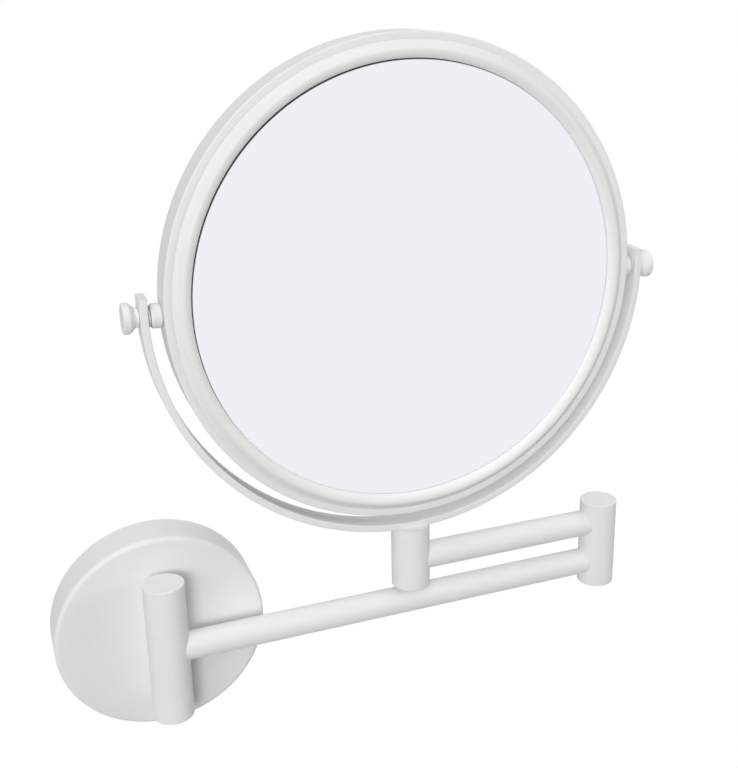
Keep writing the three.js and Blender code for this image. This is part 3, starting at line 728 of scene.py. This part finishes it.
def make_yoke():
    """The strip, the seat under it, and the rivet, whose head follows the strip's inner face."""
    strip = yoke_strip("yoke_strip")
    rivet_low, rivet_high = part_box("yoke_rivet")
    top = Vector((CENTRE_AXIS.x, CENTRE_AXIS.y, rivet_high.z))
    shank, mouth = RIVET_RADIUS + 0.2, RIVET_HEAD_RADIUS + 0.02
    seat = [(0, -14), (shank, -14), (shank, -RIVET_HEAD_DEPTH), (mouth, 0), (mouth, 1), (0, 1)]
    cut(strip, *pivot_holes(YOKE_OUTER), turned_piece("seat", seat, top, "up", WHITE, SMALL))
    stand_in(strip, "yoke", "yoke_band")

    bottom = CENTRE_AXIS.z + HALF_PLAY + SEAM
    hub = sleeve("yoke_seat", CENTRE_AXIS, bottom, YOKE_LOW.z + YOKE_SEAT_RISE, CRISP, CRISP)
    bore = rod(PIN_HOLE_RADIUS, 0, 60, at(CENTRE_AXIS), "up")
    cut(hub, yoke_disc(YOKE_OUTER + YOKE_SEAT_PLAY), bore)
    stand_in(hub, "yoke", "yoke_hub")

    length = (rivet_high.z - rivet_low.z) / MM
    shape = [
        (0, -length), (RIVET_RADIUS - 0.5, -length), (RIVET_RADIUS, 0.5 - length),
        (RIVET_RADIUS, -RIVET_HEAD_DEPTH), (RIVET_HEAD_RADIUS, 0), (RIVET_HEAD_RADIUS, 0.5), (0, 0.5),
    ]
    rivet = turned_piece("yoke_flush_rivet", shape, top, "up", WHITE, SMALL)
    cut(rivet, yoke_disc(YOKE_OUTER - YOKE_THICK))
    stand_in(rivet, "yoke", "yoke_rivet")


# ---------------------------------------------------------------- mirror
BEAD_OUTER = 96.98  # radii of the bead, in millimetres from the mirror's axis
BEAD_CREST = 93.1
BEAD_PROUD = 3.0  # how far the bead stands out of the rim
BEAD_SWELL = 1.8  # a greater power makes the bead run out flatter towards the rim
BEAD_STEPS = 20
SKIRT_THICK = 1.3
SKIRT_BACK = 3.9
GLASS_FACE = 7.0  # from the middle of the rim's depth
GLASS_THICK = 3.0
GLASS_BEVEL = 0.3
HOLLOW_STEPS = 40  # rings over the magnifying glass


def make_rim():
    """Flat hoop with softened outer edges, drilled for the two pivot studs."""
    outer = RIM_RADIUS / MM
    half = RIM_HALF / MM
    inner = BEAD_OUTER + 0.02  # a hairline gap round the bead
    soft = 0.6
    tight = 0.06
    profile = [
        *fillet(inner + tight, half - tight, tight, 180, 90, 3),
        *fillet(outer - soft, half - soft, soft, 90, 0, 6),
        *fillet(outer - soft, -half + soft, soft, 0, -90, 6),
        *fillet(inner + tight, -half + tight, tight, -90, -180, 3),
    ]
    rim = turned_piece("rim", [*profile, profile[0]], MIRROR, "front", WHITE, WIDE)
    stand_in(cut(rim, *pivot_holes(RIM_RADIUS)), "mirror", "mirror_rim")


def bead_profile():
    """Bead that rolls down to the glass inside and runs out softly into the rim, with a thin skirt."""
    base = RIM_HALF / MM
    skirt = BEAD_OUTER - SKIRT_THICK
    lip = GLASS_FACE + 0.1  # just clear of the glass
    profile = [(skirt, SKIRT_BACK), (BEAD_OUTER, SKIRT_BACK)]
    for i in range(BEAD_STEPS + 1):
        share = i / BEAD_STEPS
        rise = math.sin(math.pi / 2 * share) ** BEAD_SWELL
        profile.append((BEAD_OUTER + (BEAD_CREST - BEAD_OUTER) * share, base + BEAD_PROUD * rise))
    for i in range(1, BEAD_STEPS + 1):
        turn = math.pi / 2 * (1 - i / BEAD_STEPS)
        inward = (BEAD_CREST - BEAD_INNER) * math.cos(turn)
        profile.append((BEAD_CREST - inward, base + BEAD_PROUD * math.sin(turn)))
    return [*profile, (BEAD_INNER, lip), (skirt, lip), (skirt, SKIRT_BACK)]


def make_bezels():
    for side in ("front", "back"):
        bezel = turned_piece(f"{side}_bead", bead_profile(), MIRROR, side, WHITE, WIDE)
        stand_in(bezel, "mirror", f"{side}_bezel")


def make_glasses():
    """The flat glass in front and the hollow, magnifying one behind."""
    low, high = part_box("plain_glass")
    radius = (high.x - low.x) / 2 / MM
    glass_back = GLASS_FACE - GLASS_THICK
    flat = [
        (0, glass_back), (radius, glass_back), (radius, GLASS_FACE - GLASS_BEVEL),
        (radius - GLASS_BEVEL, GLASS_FACE), (0, GLASS_FACE),
    ]
    plain = turned_piece("plain_mirror_glass", flat, MIRROR, "front", SILVER_WITH_PAINTED_SHADE, WIDE)
    stand_in(plain, "mirror", "plain_glass", slot="mirror_glass")

    low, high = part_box("magnifying_glass")
    hollow = (high.y - low.y) / MM - GLASS_THICK
    radii = [radius * i / HOLLOW_STEPS for i in range(HOLLOW_STEPS + 1)]
    back = [(r, GLASS_FACE - GLASS_THICK - hollow * (1 - (r / radius) ** 2)) for r in radii]
    face = [(r, GLASS_FACE - hollow * (1 - (r / radius) ** 2)) for r in reversed(radii)]
    magnifying = turned_piece("magnifying_mirror_glass", [*back, *face], MIRROR, "back", SILVER, WIDE)
    stand_in(magnifying, "mirror", "magnifying_glass", slot="mirror_glass")


# ---------------------------------------------------------------- pivots and knobs
PIVOT_MIDDLE = Vector((MIRROR.x, PIVOT.y, PIVOT.z))  # on the tilt axis, halfway between the knobs
SPACER_ROUND = 1.0
KNOB_GAP = 0.12  # between a knob and the strip
KNOB_COLLAR_RADIUS = 3.9
KNOB_COLLAR_LENGTH = 1.7
KNOB_FLARE = 0.6  # how much wider the collar gets on its way to the knob's rim
KNOB_FLARE_LENGTH = 0.9
FLARE_SHARES = (0.33, 0.66, 1.0)
KNOB_RIM_LENGTH = 2.8
KNOB_ROUND = 0.55
KNOB_CAP = 1.4  # the closed end over the stud's hole


def make_spacer(side):
    """Round-cornered ring between the mirror's rim and the strip."""
    low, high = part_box(f"{side}_pivot_spacer")
    radius = (high.z - low.z) / 2 / MM - SPACER_ROUND
    start = RIM_RADIUS / MM + 0.05  # just clear of the rim
    end = start + (high.x - low.x) / MM + 0.25  # nearly up to the strip
    outline = [
        (STUD_HOLE_RADIUS, start), *fillet(radius, start + SPACER_ROUND, SPACER_ROUND, -90, 0, 6),
        *fillet(radius, end - SPACER_ROUND, SPACER_ROUND, 0, 90, 6),
        (STUD_HOLE_RADIUS, end), (STUD_HOLE_RADIUS, start),
    ]
    spacer = turned_piece(f"{side}_spacer", outline, PIVOT_MIDDLE, side, WHITE, KNOB_SIDES)
    stand_in(spacer, "mirror", f"{side}_pivot_spacer")


def make_knob(side):
    """Collar that flares out to a rounded rim, bored for the pivot stud."""
    low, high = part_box(f"{side}_knob")
    rim = (high.z - low.z) / 2 / MM
    start = YOKE_OUTER / MM + KNOB_GAP
    end = max(abs(high.x - MIRROR.x), abs(low.x - MIRROR.x)) / MM
    flare = YOKE_OUTER / MM + KNOB_COLLAR_LENGTH - 0.4
    rim_start = end - KNOB_RIM_LENGTH
    hole_end = end - KNOB_CAP
    flared = [
        (KNOB_COLLAR_RADIUS + KNOB_FLARE * share * share, flare + KNOB_FLARE_LENGTH * share)
        for share in FLARE_SHARES
    ]
    outline = [
        (STUD_HOLE_RADIUS, start), (KNOB_COLLAR_RADIUS - 0.2, start), (KNOB_COLLAR_RADIUS, start + 0.2),
        (KNOB_COLLAR_RADIUS, flare), *flared,
        *fillet(rim - KNOB_ROUND, rim_start + KNOB_ROUND, KNOB_ROUND, -45, 0, 6),
        *fillet(rim - KNOB_ROUND, end - KNOB_ROUND, KNOB_ROUND, 0, 90, 8),
        (0, end), (0, hole_end), (STUD_HOLE_RADIUS, hole_end), (STUD_HOLE_RADIUS, start),
    ]
    knob = turned_piece(f"{side}_thumb_knob", outline, PIVOT_MIDDLE, side, WHITE, KNOB_SIDES)
    stand_in(knob, f"{side}_knob", f"{side}_knob")


# ---------------------------------------------------------------- hidden pieces keep their CAD shape
def dress_cad_nodes():
    slots = {s["node"]: s["material_slot"] for s in frame["record"]["subparts"]}
    for name, node in frame["nodes"].items():
        node.data.materials.clear()
        node.data.materials.append(FINISH[slots[name]])


# ---------------------------------------------------------------- studio
def glowing_white(name):
    """Evenly lit studio white."""
    material, _, _, shader = new_material(name)
    shader.inputs["Base Color"].default_value = (0, 0, 0, 1)
    shader.inputs["Roughness"].default_value = 1.0
    shader.inputs["Specular IOR Level"].default_value = 0.0
    shader.inputs["Emission Color"].default_value = (1, 1, 1, 1)
    shader.inputs["Emission Strength"].default_value = 1.0
    material.cycles.emission_sampling = "NONE"
    return material


def stage_piece(name, bm, material):
    """Floor or backdrop: the camera and reflections see it, and it sheds no diffuse light on the object."""
    mesh = bpy.data.meshes.new(name)
    bm.to_mesh(mesh)
    bm.free()
    mesh.materials.append(material)
    piece = bpy.data.objects.new(name, mesh)
    bpy.context.scene.collection.objects.link(piece)
    piece.visible_diffuse = False
    piece.visible_shadow = False


BACKDROP_RADIUS = 12.0
FLOOR_LEVEL = -0.9


def make_surroundings():
    """A pale floor far below, inside a pale dome."""
    bm = bmesh.new()
    level = Matrix.Translation((0, 0, FLOOR_LEVEL))
    bmesh.ops.create_grid(bm, x_segments=1, y_segments=1, size=BACKDROP_RADIUS, matrix=level)
    stage_piece("studio_floor", bm, glowing_white("pale_floor"))
    bm = bmesh.new()
    bmesh.ops.create_uvsphere(bm, u_segments=64, v_segments=32, radius=BACKDROP_RADIUS)
    stage_piece("studio_backdrop", bm, glowing_white("pale_backdrop"))


# broad pools of light round the studio: towards (right, into the wall, up), and how bright
POOLS = {
    "above": ((0, 0, 1), 0.68),
    "below": ((0, 0, -1), 1.12),
    "front left, high": ((-1, -1, 1), 0.97),
    "back right, high": ((1, 1, 1), 1.30),
    "back left, low": ((-1, 1, -1), 0.64),
}
POOL_FOCUS = 4.0  # how fast a pool fades away from its middle


def make_world():
    """Soft studio light: the sum of the pools."""
    world = bpy.data.worlds.new("studio")
    bpy.context.scene.world = world
    world.use_nodes = True
    nodes, links = world.node_tree.nodes, world.node_tree.links
    direction = nodes.new("ShaderNodeTexCoord").outputs["Generated"]

    def maths(operation, first, second):
        node = nodes.new("ShaderNodeMath")
        node.operation = operation
        for socket, value in zip(node.inputs, (first, second)):
            if isinstance(value, float):
                socket.default_value = value
            else:
                links.new(value, socket)
        return node.outputs["Value"]

    total = 0.0
    for towards, brightness in POOLS.values():
        facing = nodes.new("ShaderNodeVectorMath")
        facing.operation = "DOT_PRODUCT"
        links.new(direction, facing.inputs[0])
        facing.inputs[1].default_value = Vector(towards).normalized()
        pool = maths("POWER", maths("MAXIMUM", facing.outputs["Value"], 0.0), POOL_FOCUS)
        total = maths("ADD", maths("MULTIPLY", pool, brightness), total)
    nodes["Background"].inputs["Color"].default_value = (1, 1, 1, 1)
    links.new(total, nodes["Background"].inputs["Strength"])


LIGHT_TARGET = Vector((0.09, -0.03, 0.09))
LIGHT_DISTANCE = 1.5
LIGHT_SIZE = 0.5
LIGHT_HEIGHT = 18  # degrees above the middle of the object
# each lamp's bearing from straight in front, in degrees, and its power in watts
LAMPS = {"key": (-23, 10.3), "left": (-45, 2.2), "right": (60, 4.4)}


def make_lamps():
    """Round softboxes in front, each aimed at the middle of the object."""
    rise = math.radians(LIGHT_HEIGHT)
    for name, (bearing, power) in LAMPS.items():
        light = bpy.data.lights.new(name, "AREA")
        light.shape = "DISK"
        light.size = LIGHT_SIZE
        light.energy = power
        lamp = bpy.data.objects.new(name, light)
        bpy.context.scene.collection.objects.link(lamp)
        turn = math.radians(bearing)
        level = Vector((math.sin(turn), -math.cos(turn), 0))
        towards = level * math.cos(rise) + Vector((0, 0, math.sin(rise)))
        lamp.location = LIGHT_TARGET + towards * LIGHT_DISTANCE
        lamp.rotation_euler = (-towards).to_track_quat("-Z", "Y").to_euler()


CAMERA_PLACE = (-0.0556, -0.4520, 0.2626)
LOOKS_DOWN = 18.577  # degrees
LOOKS_RIGHT = 22.965


def make_camera():
    """Stands to the left of the mirror and a little above it, as the product shot does."""
    lens = bpy.data.cameras.new("camera")
    camera = bpy.data.objects.new("camera", lens)
    bpy.context.scene.collection.objects.link(camera)
    camera.location = CAMERA_PLACE
    camera.rotation_euler = (math.radians(90 - LOOKS_DOWN), 0, math.radians(-LOOKS_RIGHT))
    lens.sensor_width = 36
    lens.lens = 53.08
    lens.shift_x = -0.0917
    lens.shift_y = -0.0281
    lens.clip_start = 0.01
    lens.clip_end = 400
    bpy.context.scene.camera = camera


make_rosette()
make_plate()
make_bracket_screws()
make_grub()
make_wall_post()
make_lower_arm()
make_upper_arm()
make_yoke()
make_rim()
make_bezels()
make_glasses()
for side in ("left", "right"):
    make_spacer(side)
    make_knob(side)
dress_cad_nodes()

make_surroundings()
make_world()
make_lamps()
make_camera()
bpy.context.scene.view_settings.view_transform = "Standard"
